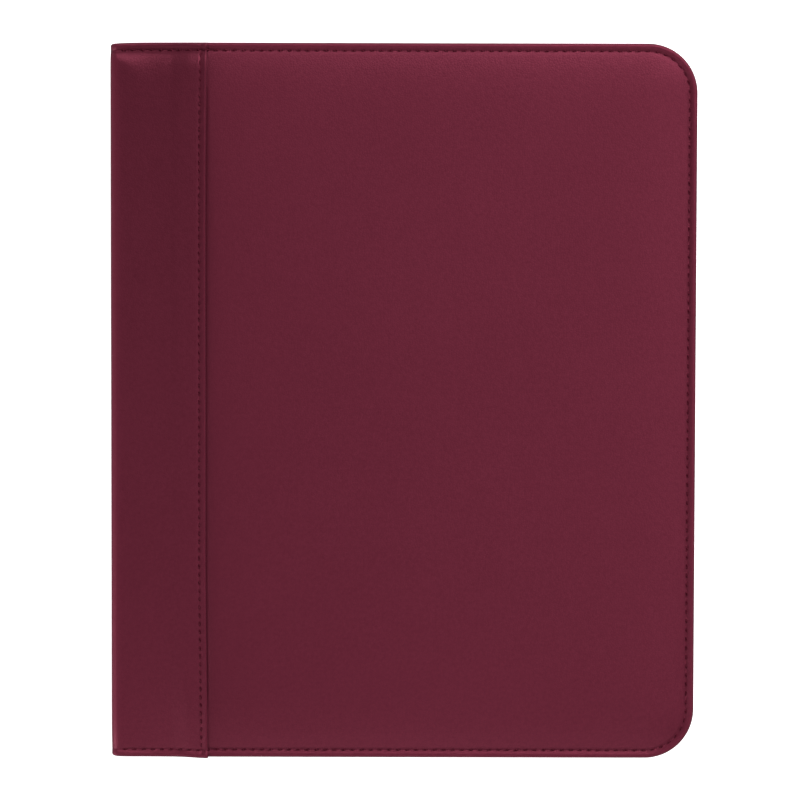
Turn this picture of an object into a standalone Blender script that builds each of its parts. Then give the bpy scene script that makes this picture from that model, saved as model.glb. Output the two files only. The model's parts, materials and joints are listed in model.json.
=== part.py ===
"""A letter-size padfolio with padded covers, lying closed on its back cover. Metres, +Z up.

+Z is the thickness, +Y runs up the front cover and +X points from the spine to the free edge. Each cover is
a lining, a board, a foam and a padded skin, sewn together along its edge. A strip wraps the spine and laps
onto both skins. The cover opens on two folds, one along each edge of the spine, and a writing pad slides
into a pocket on the inside of the back cover.
"""

import math

import bmesh
import bpy

# The closed padfolio is built round its pad and the pen loop beside the pad.
PAD_WIDTH = 0.2159
PAD_LENGTH = 0.2794
PAD_TO_FREE_EDGE = 0.010
PAD_TO_LOWER_EDGE = 0.0115
PAD_TO_UPPER_EDGE = 0.0141
PEN_BORE = 0.0096
PEN_WALL = 0.0008
PEN_TO_SPINE = 0.0038
PEN_TO_PAD = 0.0045
PEN_TO_LINING = 0.0017
CORNER_RADIUS = 0.021  # at the free edge
CORNER_STEPS = 8

# The plies of a cover, from the outside in, and the space between two plies.
SKIN = 0.0008
FOAM = 0.0020
BOARD = 0.0016
LINING = 0.0006
PLY_GAP = 0.0003

# The sewn edge of a cover, and the padded crown inside it.
STITCH_INSET = 0.0033
MARGIN = 0.0046
EDGE_ROUND = 0.0005
GROOVE_HALF = 0.0006
GROOVE_DEPTH = 0.0002
CROWN_RUN = 0.011
CROWN_STEPS = 5
CROWN_SPACING = 1.4
LINING_INSET = 0.0016
THREAD = 0.0005

# The strip round the spine, measured from the spine's outer face, and its lap over a skin.
LIP_EDGE = 0.0411
SEAM_STITCH = 0.0379
LAP = 0.008
DIP_RUN = 0.007
DIP_END = 0.0368
LIP_CLEARANCE = 0.0008
FOLD_RELIEF = 0.020  # over which the sewn edge climbs to the fold
FOLD_DROP = 0.0010  # of the sewn edge below the strip's top at the fold
GUTTER = 0.006  # from the spine's outer face to the boards
LINING_GUTTER = 0.0075

# The pad's plies and the pocket that its backing slides into.
PAD_BACKING = 0.0008
PAD_SHEETS = 0.0053
PAD_TAPE = 0.0004
PAD_TAPE_LENGTH = 0.020
PAD_SLIDE_GAP = 0.0003
POCKET_PLY = 0.0006
POCKET_HEM = 0.003
PAD_POCKET_HEIGHT = 0.108
POCKET_FOOT = 0.0025  # from the pad's foot to the pocket's hem
POCKET_SIDE_GAP = 0.0008

# The pieces on the inside of the front cover.
PAPERS_POCKET_LEFT = 0.024  # from the spine's outer face
PAPERS_POCKET_RIGHT = 0.008
PAPERS_POCKET_BOTTOM = 0.008
PAPERS_POCKET_HEIGHT = 0.140
PAPERS_POCKET_DEPTH = 0.0008
CARD_COUNT = 3
CARD_PLY = 0.0006
CARD_WIDTH = 0.092
CARD_LEFT = 0.034  # from the spine's outer face
CARD_FOOT = 0.010  # above the papers pocket
CARD_FIRST_HEIGHT = 0.076
CARD_STEP = 0.013
WINDOW_PLY = 0.0004
WINDOW_TO_FREE_EDGE = 0.021
WINDOW_HEIGHT = 0.060
WINDOW_SPACE = 0.012  # from the card slots to the window
PEN_LENGTH = 0.032
PEN_SIDES = 24
PEN_UP = 0.020  # of its middle above the cover's middle

PANEL_SOFTENING = 0.00015

# Colours as linear RGB, then roughness.
LEATHERETTE = ((0.125, 0.018, 0.036), 0.45)
LINING_CLOTH = ((0.020, 0.018, 0.019), 0.80)
THREAD_COLOUR = ((0.070, 0.004, 0.012), 0.60)
GREYBOARD = ((0.300, 0.280, 0.250), 0.90)
FOAM_COLOUR = ((0.700, 0.680, 0.620), 0.95)
PAPER = ((0.850, 0.850, 0.820), 0.75)
TAPE = ((0.100, 0.015, 0.028), 0.60)
ELASTIC = ((0.015, 0.013, 0.014), 0.85)
CLEAR_FILM = ((0.800, 0.820, 0.840), 0.10)

# The overall size that follows.
PEN_OUTER = PEN_BORE + 2 * PEN_WALL
SPINE_PLIES = SKIN + BOARD + LINING + 2 * PLY_GAP
PAD_TO_SPINE_FACE = SPINE_PLIES + PEN_TO_SPINE + PEN_OUTER + PEN_TO_PAD
WIDTH = PAD_TO_SPINE_FACE + PAD_WIDTH + PAD_TO_FREE_EDGE
HEIGHT = PAD_TO_LOWER_EDGE + PAD_LENGTH + PAD_TO_UPPER_EDGE
CAVITY = PLY_GAP + PEN_OUTER + PEN_TO_LINING

# Heights above the inner face of a cover's lining, growing outward on both covers.
LINING_TOP = LINING
BOARD_LOW = LINING_TOP + PLY_GAP
BOARD_TOP = BOARD_LOW + BOARD
FOAM_LOW = BOARD_TOP + PLY_GAP
FOAM_TOP = FOAM_LOW + FOAM
SKIN_TOP = FOAM_TOP + PLY_GAP + SKIN
MARGIN_TOP = LINING_TOP + PLY_GAP + GROOVE_DEPTH + SKIN
LAP_RISE = SKIN + PLY_GAP + GROOVE_DEPTH
PANEL_LAP_TOP = BOARD_TOP + PLY_GAP + SKIN
STRIP_LAP_TOP = PANEL_LAP_TOP + LAP_RISE

THICKNESS = 2 * SKIN_TOP + CAVITY
SPINE_X = -WIDTH / 2
FREE_X = WIDTH / 2
TOP_Y = HEIGHT / 2
MIDDLE_Z = THICKNESS / 2
LIP_X = SPINE_X + LIP_EDGE
SEAM_X = SPINE_X + SEAM_STITCH
DIP_X = SPINE_X + DIP_END
FOLD_X = SPINE_X + SKIN / 2
FOLD_LOW_Z = SKIN / 2
FOLD_HIGH_Z = THICKNESS - SKIN / 2


def material(name, look, alpha=1.0):
    made = bpy.data.materials.new(name)
    made.use_nodes = True
    shader = made.node_tree.nodes["Principled BSDF"]
    colour, roughness = look
    shader.inputs["Base Color"].default_value = (*colour, 1.0)
    shader.inputs["Roughness"].default_value = roughness
    shader.inputs["Metallic"].default_value = 0.0
    shader.inputs["Alpha"].default_value = alpha
    return made


def finish(piece, look, parent=None, smooth=False):
    """Gives a piece its material, puts it in the padfolio's collection and parents it where it is."""
    piece.data.materials.clear()
    piece.data.materials.append(look)
    for held in list(piece.users_collection):
        held.objects.unlink(piece)
    PARTS.objects.link(piece)
    if smooth:
        piece.data.shade_smooth()
    if parent:
        piece.parent = parent
        piece.matrix_parent_inverse = parent.matrix_world.inverted()
    return piece


def soften(piece, width=PANEL_SOFTENING):
    """A small bevel along a panel's sharp edges."""
    bevel = piece.modifiers.new("Softened edges", "BEVEL")
    bevel.width = width
    bevel.segments = 1
    bevel.limit_method = "ANGLE"
    bevel.angle_limit = math.radians(40)


def block(name, x, y, z):
    """A box between two values on each axis."""
    bpy.ops.mesh.primitive_cube_add(size=1)
    made = bpy.context.object
    made.name = name
    made.data.name = name
    spans = (x, y, z)
    made.scale = [high - low for low, high in spans]
    bpy.ops.object.transform_apply(location=False, rotation=False, scale=True)
    made.location = [(low + high) / 2 for low, high in spans]
    return made


def cover_outline(left, inset):
    """The outline of a cover from x = left, drawn in by inset at its other three edges."""
    radius = CORNER_RADIUS - inset
    corner_x = FREE_X - CORNER_RADIUS
    corner_y = TOP_Y - CORNER_RADIUS
    top = TOP_Y - inset
    points = [(left, -top)]
    for start, side in ((-90, -1), (0, 1)):
        for step in range(CORNER_STEPS + 1):
            angle = math.radians(start + 90 * step / CORNER_STEPS)
            points.append((corner_x + radius * math.cos(angle), side * corner_y + radius * math.sin(angle)))
    points.append((left, top))
    return points


def cover_z(height, side):
    """World z of a height above a cover's lining: side is 1 on the front cover and -1 on the back."""
    return MIDDLE_Z + side * (CAVITY / 2 + height)


def cut_sheet(name, outline, thickness):
    """A flat sheet cut to this outline, with its middle in the plane z = 0."""
    curve = bpy.data.curves.new(name, "CURVE")
    curve.dimensions = "2D"
    curve.fill_mode = "BOTH"
    curve.extrude = thickness / 2
    spline = curve.splines.new("POLY")
    spline.points.add(len(outline) - 1)
    for point, (x, y) in zip(spline.points, outline):
        point.co = (x, y, 0, 1)
    spline.use_cyclic_u = True
    drawn = bpy.data.objects.new(name, curve)
    bpy.context.scene.collection.objects.link(drawn)
    bpy.context.view_layer.update()
    mesh = bpy.data.meshes.new_from_object(drawn.evaluated_get(bpy.context.evaluated_depsgraph_get()))
    bpy.data.objects.remove(drawn)
    bpy.data.curves.remove(curve)
    welded = bmesh.new()
    welded.from_mesh(mesh)
    bmesh.ops.remove_doubles(welded, verts=welded.verts, dist=0.00001)
    bmesh.ops.recalc_face_normals(welded, faces=welded.faces)
    welded.to_mesh(mesh)
    welded.free()
    made = bpy.data.objects.new(name, mesh)
    PARTS.objects.link(made)
    return made


def flat_ply(name, outline, low, high, side, softening=PANEL_SOFTENING):
    """A flat sheet with this outline between two heights of a cover."""
    made = cut_sheet(name, outline, high - low)
    made.location.z = cover_z((low + high) / 2, side)
    soften(made, softening)
    return made


def rise(share):
    """How far up the padded crown is, this share of the way in: steep at the stitching, flat inside."""
    return 1 - (1 - min(max(share, 0.0), 1.0)) ** 2


def crown_runs(run):
    """Places along a crown's slope, closer together at its steep foot."""
    return [run * (step / CROWN_STEPS) ** CROWN_SPACING for step in range(CROWN_STEPS + 1)]


def run_to_clear(height, low, high, run=CROWN_RUN):
    """How far in from its foot a crown has lifted a skin's underside clear of this height."""
    share = (height + SKIN + 2 * PLY_GAP - low) / (high - low)
    return run * (1 - math.sqrt(1 - min(share, 1.0)))


def edge_distance(x, y):
    """Distance in from the cover's top, bottom and free edges."""
    over_x = x - (FREE_X - CORNER_RADIUS)
    over_y = abs(y) - (TOP_Y - CORNER_RADIUS)
    if over_x > 0 and over_y > 0:
        return CORNER_RADIUS - math.hypot(over_x, over_y)
    return CORNER_RADIUS - max(over_x, over_y)


def groove(distance):
    """Depth of a stitch groove, this far from its middle."""
    return GROOVE_DEPTH * max(0.0, 1 - abs(distance) / GROOVE_HALF)


def swell(inset):
    """How far the padding has lifted a skin off its sewn margin, this far in from the edge."""
    return (SKIN_TOP - MARGIN_TOP) * rise((inset - MARGIN) / CROWN_RUN)


def padded_height(x, y, margin, crown):
    """Height of a skin that swells from its sewn margin up to its padded middle."""
    inset = edge_distance(x, y)
    height = min(margin + swell(inset), crown)
    height -= groove(inset - STITCH_INSET)
    height -= EDGE_ROUND / 2 * max(0.0, 1 - inset / EDGE_ROUND)
    return height


def panel_height(x, y):
    """Top of the skin beside the strip: low under the strip's lip, padded beyond it."""
    lift = rise((x - LIP_X - LIP_CLEARANCE) / CROWN_RUN)
    return padded_height(x, y, MARGIN_TOP, PANEL_LAP_TOP + (SKIN_TOP - PANEL_LAP_TOP) * lift)


def strip_height(x, y):
    """Top of the spine strip: padded beside the spine, dipping to its seam over the skin."""
    padding = rise((DIP_X - x) / DIP_RUN)
    lapping = min(max((x - (LIP_X - LAP - DIP_RUN)) / (DIP_RUN - PLY_GAP), 0.0), 1.0)
    climb = 1 - rise((x - SPINE_X) / FOLD_RELIEF)
    margin = MARGIN_TOP + LAP_RISE * lapping + (SKIN_TOP - FOLD_DROP - MARGIN_TOP) * climb
    crown = STRIP_LAP_TOP + (SKIN_TOP - STRIP_LAP_TOP) * padding
    return padded_height(x, y, margin, crown) - groove(x - SEAM_X)


def relief_columns():
    """Places beside the fold, over which the strip's sewn edge climbs."""
    return [SPINE_X + FOLD_RELIEF * step / CROWN_STEPS for step in range(1, CROWN_STEPS + 1)]


def skin_sheet(name, left, right, columns, height, side):
    """A skin ply between two x values, with its top at height(x, y), as a shell of one thickness."""
    shape = bmesh.new()
    far_left = left - MARGIN - 2 * CROWN_RUN
    shape.faces.new([shape.verts.new((x, y, 0)) for x, y in cover_outline(far_left, 0)])
    insets = [EDGE_ROUND, STITCH_INSET - GROOVE_HALF, STITCH_INSET, STITCH_INSET + GROOVE_HALF]
    insets += [MARGIN + run for run in crown_runs(CROWN_RUN)]
    shape.normal_update()
    reached = 0.0
    inner = list(shape.faces)
    for inset in insets:
        bmesh.ops.inset_region(
            shape, faces=inner, thickness=inset - reached, use_boundary=True, use_even_offset=True
        )
        reached = inset
    for x in columns:
        everything = list(shape.verts) + list(shape.edges) + list(shape.faces)
        bmesh.ops.bisect_plane(shape, geom=everything, dist=1e-7, plane_co=(x, 0, 0), plane_no=(1, 0, 0))
    for x, normal in ((left, -1), (right, 1)):
        everything = list(shape.verts) + list(shape.edges) + list(shape.faces)
        bmesh.ops.bisect_plane(
            shape, geom=everything, dist=1e-7, plane_co=(x, 0, 0), plane_no=(normal, 0, 0), clear_outer=True
        )
    shape.normal_update()
    if sum(face.normal.z for face in shape.faces) < 0:
        bmesh.ops.reverse_faces(shape, faces=shape.faces)
    for vert in shape.verts:
        vert.co.z = cover_z(height(vert.co.x, vert.co.y), side)
    if side < 0:
        bmesh.ops.reverse_faces(shape, faces=shape.faces)
    bmesh.ops.triangulate(shape, faces=shape.faces)
    mesh = bpy.data.meshes.new(name)
    shape.to_mesh(mesh)
    shape.free()
    made = bpy.data.objects.new(name, mesh)
    PARTS.objects.link(made)
    shell = made.modifiers.new("Ply", "SOLIDIFY")
    shell.thickness = SKIN
    shell.offset = -1
    shell.use_even_offset = False
    return made


def thread(name, points, closed=False):
    """A sewing thread along a row of points."""
    curve = bpy.data.curves.new(name, "CURVE")
    curve.dimensions = "3D"
    curve.bevel_depth = THREAD / 2
    curve.bevel_resolution = 1
    curve.use_fill_caps = True
    spline = curve.splines.new("POLY")
    spline.points.add(len(points) - 1)
    for point, place in zip(spline.points, points):
        point.co = (*place, 1)
    spline.use_cyclic_u = closed
    made = bpy.data.objects.new(name, curve)
    bpy.context.scene.collection.objects.link(made)
    return made


def thread_z(x, y, height, side):
    """World z of a thread's middle over the groove at this place."""
    return cover_z(height(x, y) + PLY_GAP + THREAD / 2, side)


def seam_thread(name, side):
    """The row that sews the strip's lip to the skin, down over the crown's slope at both ends."""
    ends = [STITCH_INSET + 2 * THREAD + PLY_GAP] + [MARGIN + run for run in crown_runs(CROWN_RUN)][1:]
    along = [-TOP_Y + inset for inset in ends] + [TOP_Y - inset for inset in reversed(ends)]
    return thread(name, [(SEAM_X, y, thread_z(SEAM_X, y, strip_height, side)) for y in along])


def edge_thread(name, side):
    """The row round the top, free and bottom edges, climbing onto the strip where it laps the skin."""
    row = cover_outline(LIP_X + 2 * LIP_CLEARANCE, STITCH_INSET)
    row = [(x, y, thread_z(x, y, panel_height, side)) for x, y in row]
    stops = [SPINE_X + 2 * EDGE_ROUND + SKIN + THREAD] + relief_columns()
    stops += [LIP_X - LAP - DIP_RUN, LIP_X - LAP, LIP_X + PLY_GAP]
    ends = []
    for y in (-TOP_Y + STITCH_INSET, TOP_Y - STITCH_INSET):
        ends.append([(x, y, thread_z(min(x, LIP_X), y, strip_height, side)) for x in stops])
    return thread(name, ends[0] + row + ends[1][::-1])


def cover(prefix, side, parent):
    """The plies of one cover: side is 1 for the front and -1 for the back."""
    crown_columns = [LIP_X + LIP_CLEARANCE + run for run in crown_runs(CROWN_RUN)]
    skin = skin_sheet(prefix + "_skin", LIP_X - LAP, FREE_X + WIDTH, crown_columns, panel_height, side)
    finish(skin, LOOKS["leatherette"], parent, smooth=True)

    strip_columns = relief_columns() + [LIP_X - LAP - DIP_RUN, LIP_X - LAP - PLY_GAP]
    strip_columns += [DIP_X - run for run in crown_runs(DIP_RUN)]
    strip_columns += [SEAM_X - GROOVE_HALF, SEAM_X, SEAM_X + GROOVE_HALF]
    strip = skin_sheet(
        prefix + "_spine_strip", SPINE_X + SKIN + PLY_GAP, LIP_X, sorted(strip_columns), strip_height, side
    )
    finish(strip, LOOKS["leatherette"], parent, smooth=True)

    board_inset = MARGIN + run_to_clear(BOARD_TOP, MARGIN_TOP, SKIN_TOP)
    board = flat_ply(prefix + "_board", cover_outline(SPINE_X + GUTTER, board_inset), BOARD_LOW, BOARD_TOP, side)
    finish(board, LOOKS["greyboard"], parent)

    foam_inset = MARGIN + run_to_clear(FOAM_TOP - PLY_GAP, MARGIN_TOP, SKIN_TOP)
    foam_left = LIP_X + LIP_CLEARANCE + run_to_clear(FOAM_TOP - PLY_GAP, PANEL_LAP_TOP, SKIN_TOP)
    foam = flat_ply(prefix + "_foam", cover_outline(foam_left, foam_inset), FOAM_LOW, FOAM_TOP, side, FOAM / 4)
    finish(foam, LOOKS["foam"], parent)

    strip_foam_right = DIP_X - run_to_clear(FOAM_TOP - PLY_GAP, STRIP_LAP_TOP, SKIN_TOP, DIP_RUN)
    strip_foam_right = min(strip_foam_right, LIP_X - LAP - PLY_GAP)
    strip_foam = block(
        prefix + "_strip_foam",
        (SPINE_X + GUTTER, strip_foam_right),
        (foam_inset - TOP_Y, TOP_Y - foam_inset),
        sorted((cover_z(FOAM_LOW, side), cover_z(FOAM_TOP, side))),
    )
    soften(strip_foam, FOAM / 4)
    finish(strip_foam, LOOKS["foam"], parent)

    lining = flat_ply(
        prefix + "_lining", cover_outline(SPINE_X + LINING_GUTTER, LINING_INSET), 0, LINING_TOP, side
    )
    finish(lining, LOOKS["lining"], parent)

    finish(edge_thread(prefix + "_edge_thread", side), LOOKS["thread"], parent)
    finish(seam_thread(prefix + "_seam_thread", side), LOOKS["thread"], parent)


def pocket(names, x, y, panel_z, hem_z, look, parent):
    """A flat pocket open at its upper edge: its panel, and the hems that hold it off the lining."""
    panel, left_hem, right_hem, foot_hem = names
    pieces = [block(panel, x, y, panel_z)]
    pieces.append(block(left_hem, (x[0], x[0] + POCKET_HEM), (y[0] + POCKET_HEM + PLY_GAP, y[1]), hem_z))
    pieces.append(block(right_hem, (x[1] - POCKET_HEM, x[1]), (y[0] + POCKET_HEM + PLY_GAP, y[1]), hem_z))
    pieces.append(block(foot_hem, x, (y[0], y[0] + POCKET_HEM), hem_z))
    for piece in pieces:
        soften(piece)
        finish(piece, look, parent)


def spine_outline():
    """The spine strip's outline between the folds, as (y, z): it narrows at both ends as the covers thin."""
    low_points = []
    for inset in [0.0] + [MARGIN + run for run in crown_runs(CROWN_RUN)]:
        height = min(SKIN_TOP - FOLD_DROP + swell(inset), SKIN_TOP) - SKIN - PLY_GAP
        low_points.append((TOP_Y - inset, cover_z(height, -1)))
    end = low_points[::-1] + [(y, THICKNESS - z) for y, z in low_points]
    return end + [(-y, z) for y, z in reversed(end)]


def spine(parent):
    """The plies between the two folds."""
    inner_low = cover_z(0, -1) + PLY_GAP
    inner_high = cover_z(0, 1) - PLY_GAP
    board_x = SPINE_X + SKIN + PLY_GAP
    lining_x = board_x + BOARD + PLY_GAP
    strip = cut_sheet("spine_strip", spine_outline(), SKIN)
    strip.rotation_euler = (math.radians(90), 0, math.radians(90))
    strip.location.x = SPINE_X + SKIN / 2
    bpy.context.view_layer.update()
    finish(strip, LOOKS["leatherette"], parent)
    plies = (
        ("spine_board", board_x, BOARD, TOP_Y - MARGIN, "greyboard"),
        ("spine_lining", lining_x, LINING, TOP_Y - LINING_INSET, "lining"),
    )
    for name, start, ply, reach, look in plies:
        made = block(name, (start, start + ply), (-reach, reach), (inner_low, inner_high))
        soften(made)
        finish(made, LOOKS[look], parent)


def pad_pocket():
    """The pocket on the back cover's lining that the pad's backing slides into."""
    lining_z = cover_z(0, -1)
    backing_space = PAD_BACKING + 2 * PAD_SLIDE_GAP
    hem_z = (lining_z + PLY_GAP, lining_z + backing_space - PLY_GAP)
    panel_low = lining_z + backing_space
    reach = POCKET_HEM + POCKET_SIDE_GAP
    foot = PAD_Y[0] - POCKET_FOOT - POCKET_HEM
    pocket(
        ("pad_pocket", "pad_pocket_hem_left", "pad_pocket_hem_right", "pad_pocket_hem_foot"),
        (PAD_X[0] - reach, PAD_X[1] + reach),
        (foot, foot + PAD_POCKET_HEIGHT),
        (panel_low, panel_low + POCKET_PLY),
        hem_z,
        LOOKS["leatherette"],
        None,
    )
    return foot + PAD_POCKET_HEIGHT, panel_low + POCKET_PLY


def pad(parent, mouth_y, panel_top):
    """The writing pad: its sheets lie on the backing above the pocket, and on the pocket's panel below it."""
    lining_z = cover_z(0, -1)
    backing = (lining_z + PAD_SLIDE_GAP, lining_z + PAD_SLIDE_GAP + PAD_BACKING)
    made = block("pad_backing", PAD_X, PAD_Y, backing)
    soften(made)
    finish(made, LOOKS["greyboard"], parent)

    sheets_top = backing[1] + PLY_GAP + PAD_SHEETS
    sheets = block("pad_sheets", PAD_X, PAD_Y, (backing[1] + PLY_GAP, sheets_top))
    recess_y = (PAD_Y[0] - PAD_SLIDE_GAP, mouth_y + PAD_SLIDE_GAP)
    recess_x = (PAD_X[0] - PAD_SLIDE_GAP, PAD_X[1] + PAD_SLIDE_GAP)
    recess = block("pocket_recess", recess_x, recess_y, (backing[0], panel_top + PAD_SLIDE_GAP))
    recess.hide_render = True
    recess.display_type = "WIRE"
    for held in list(recess.users_collection):
        held.objects.unlink(recess)
    CUTTERS.objects.link(recess)
    cut = sheets.modifiers.new("Over the pocket", "BOOLEAN")
    cut.operation = "DIFFERENCE"
    cut.object = recess
    finish(sheets, LOOKS["paper"], parent)

    tape_low = sheets_top + PLY_GAP
    tape_end = PAD_Y[1] + PLY_GAP
    tape = block("pad_tape", PAD_X, (PAD_Y[1] - PAD_TAPE_LENGTH, tape_end), (tape_low, tape_low + PAD_TAPE))
    finish(tape, LOOKS["tape"], parent)
    end = block("pad_tape_end", PAD_X, (tape_end + PLY_GAP, tape_end + PLY_GAP + PAD_TAPE), (backing[0], tape_low))
    finish(end, LOOKS["tape"], parent)


def front_inside(parent):
    """The papers pocket, card slots, window and pen loop on the front cover's lining."""
    lining_z = cover_z(0, 1)
    hem_top = lining_z - PLY_GAP
    hem_low = hem_top - PAPERS_POCKET_DEPTH
    panel_top = hem_low - PLY_GAP
    pocket_y = -TOP_Y + PAPERS_POCKET_BOTTOM
    pocket(
        ("papers_pocket", "papers_pocket_hem_left", "papers_pocket_hem_right", "papers_pocket_hem_foot"),
        (SPINE_X + PAPERS_POCKET_LEFT, FREE_X - PAPERS_POCKET_RIGHT),
        (pocket_y, pocket_y + PAPERS_POCKET_HEIGHT),
        (panel_top - POCKET_PLY, panel_top),
        (hem_low, hem_top),
        LOOKS["leatherette"],
        parent,
    )

    card_x = SPINE_X + CARD_LEFT
    card_y = pocket_y + PAPERS_POCKET_HEIGHT + CARD_FOOT
    for number in range(CARD_COUNT):
        top = hem_top - number * (CARD_PLY + PLY_GAP)
        height = CARD_FIRST_HEIGHT - number * CARD_STEP
        card_span = (card_x, card_x + CARD_WIDTH)
        slot = block(f"card_slot_{number + 1}", card_span, (card_y, card_y + height), (top - CARD_PLY, top))
        soften(slot)
        finish(slot, LOOKS["leatherette"], parent)

    window_x = card_x + CARD_WIDTH + WINDOW_SPACE
    window_span = (window_x, FREE_X - WINDOW_TO_FREE_EDGE)
    window = block("id_window", window_span, (card_y, card_y + WINDOW_HEIGHT), (hem_top - WINDOW_PLY, hem_top))
    finish(window, LOOKS["film"], parent)

    loop = bmesh.new()
    for radius in (PEN_OUTER / 2, PEN_BORE / 2):
        bmesh.ops.create_circle(loop, cap_ends=False, segments=PEN_SIDES, radius=radius)
    end_face = bmesh.ops.bridge_loops(loop, edges=list(loop.edges))["faces"]
    drawn_out = bmesh.ops.extrude_face_region(loop, geom=end_face)["geom"]
    far_verts = [item for item in drawn_out if isinstance(item, bmesh.types.BMVert)]
    bmesh.ops.translate(loop, verts=far_verts, vec=(0, 0, PEN_LENGTH))
    bmesh.ops.recalc_face_normals(loop, faces=loop.faces)
    mesh = bpy.data.meshes.new("pen_loop")
    loop.to_mesh(mesh)
    loop.free()
    pen_loop = bpy.data.objects.new("pen_loop", mesh)
    PARTS.objects.link(pen_loop)
    pen_loop.rotation_euler.x = math.radians(90)
    pen_x = SPINE_X + SPINE_PLIES + PEN_TO_SPINE + PEN_OUTER / 2
    pen_loop.location = (pen_x, PEN_UP + PEN_LENGTH / 2, hem_top - PEN_OUTER / 2)
    bpy.context.view_layer.update()
    finish(pen_loop, LOOKS["elastic"], parent, smooth=True)
    mesh.set_sharp_from_angle(angle=math.radians(40))


def empty(name, place, parent=None):
    """A frame on a joint's axis, which carries the pieces that move with the joint."""
    made = bpy.data.objects.new(name, None)
    made.empty_display_size = 0.02
    made.location = place
    PARTS.objects.link(made)
    bpy.context.view_layer.update()
    if parent:
        made.parent = parent
        made.matrix_parent_inverse = parent.matrix_world.inverted()
        bpy.context.view_layer.update()
    return made


for existing in list(bpy.data.objects):
    bpy.data.objects.remove(existing, do_unlink=True)

PARTS = bpy.data.collections.new("padfolio")
CUTTERS = bpy.data.collections.new("cutters")
bpy.context.scene.collection.children.link(PARTS)
bpy.context.scene.collection.children.link(CUTTERS)

LOOKS = {
    "leatherette": material("leatherette", LEATHERETTE),
    "lining": material("lining cloth", LINING_CLOTH),
    "thread": material("thread", THREAD_COLOUR),
    "greyboard": material("greyboard", GREYBOARD),
    "foam": material("foam", FOAM_COLOUR),
    "paper": material("paper", PAPER),
    "tape": material("binding tape", TAPE),
    "elastic": material("elastic", ELASTIC),
    "film": material("clear film", CLEAR_FILM, alpha=0.4),
}

PAD_X = (SPINE_X + PAD_TO_SPINE_FACE, FREE_X - PAD_TO_FREE_EDGE)
PAD_Y = (-TOP_Y + PAD_TO_LOWER_EDGE, TOP_Y - PAD_TO_UPPER_EDGE)

spine_fold = empty("spine_fold", (FOLD_X, 0, FOLD_LOW_Z))
cover_fold = empty("cover_fold", (FOLD_X, 0, FOLD_HIGH_Z), spine_fold)
pad_slide = empty("pad_slide", (0, 0, cover_z(0, -1)))

cover("back", -1, None)
cover("front", 1, cover_fold)
spine(spine_fold)
pocket_mouth, pocket_top = pad_pocket()
pad(pad_slide, pocket_mouth, pocket_top)
front_inside(cover_fold)
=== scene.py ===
"""The looks of a closed burgundy padfolio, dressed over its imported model. Metres, in the model's frame."""

import json
import math

import bmesh
import bpy
import numpy as np
from mathutils import Euler, Matrix, Vector


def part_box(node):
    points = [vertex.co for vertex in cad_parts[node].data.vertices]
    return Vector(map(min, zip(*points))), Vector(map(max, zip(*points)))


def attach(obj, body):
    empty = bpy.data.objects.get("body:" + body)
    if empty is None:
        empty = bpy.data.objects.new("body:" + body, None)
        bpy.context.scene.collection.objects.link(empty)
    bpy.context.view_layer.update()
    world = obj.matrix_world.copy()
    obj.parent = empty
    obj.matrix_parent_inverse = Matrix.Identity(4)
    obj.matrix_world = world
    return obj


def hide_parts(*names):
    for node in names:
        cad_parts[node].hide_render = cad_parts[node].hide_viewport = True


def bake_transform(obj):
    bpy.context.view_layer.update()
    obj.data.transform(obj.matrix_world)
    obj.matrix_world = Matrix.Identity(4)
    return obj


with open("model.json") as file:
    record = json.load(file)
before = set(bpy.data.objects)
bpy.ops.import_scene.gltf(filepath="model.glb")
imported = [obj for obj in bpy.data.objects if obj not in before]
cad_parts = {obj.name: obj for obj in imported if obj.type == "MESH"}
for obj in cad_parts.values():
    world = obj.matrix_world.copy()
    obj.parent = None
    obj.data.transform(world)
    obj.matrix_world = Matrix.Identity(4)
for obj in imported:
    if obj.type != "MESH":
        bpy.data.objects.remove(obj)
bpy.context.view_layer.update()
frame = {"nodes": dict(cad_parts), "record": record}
NODES = frame["nodes"]

# Places read off the model.
SPINE_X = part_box("spine_strip")[0].x
FREE_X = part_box("front_skin")[1].x
TOP_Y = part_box("front_skin")[1].y
TOP_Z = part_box("front_skin")[1].z
MIDDLE_Z = TOP_Z / 2
LIP_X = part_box("front_spine_strip")[1].x
LINING_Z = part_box("front_lining")[0].z
FOLD_X = SPINE_X + 0.0004
FOLD_Z = TOP_Z - 0.0004

# The faces that pieces lie on: the z of each lining's inner face, and which way heights go from it.
FACES = {
    "front_outside": (LINING_Z, 1),
    "front_inside": (LINING_Z, -1),
    "back_outside": (TOP_Z - LINING_Z, -1),
    "back_inside": (TOP_Z - LINING_Z, 1),
}

# The sewn and padded covers, as the model has them.
CORNER_RADIUS = 0.021
CORNER_X = FREE_X - CORNER_RADIUS
CORNER_Y = TOP_Y - CORNER_RADIUS
STITCH_INSET = 0.0033
SEAM_X = LIP_X - 0.0028
SKIN_TOP = TOP_Z - LINING_Z
MARGIN_TOP = 0.0019
PANEL_LAP_TOP = 0.0050
STRIP_LAP_TOP = 0.0057
LAP_RISE = 0.0009
LAP_START = 0.015
LAP_RUN = 0.007

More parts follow.
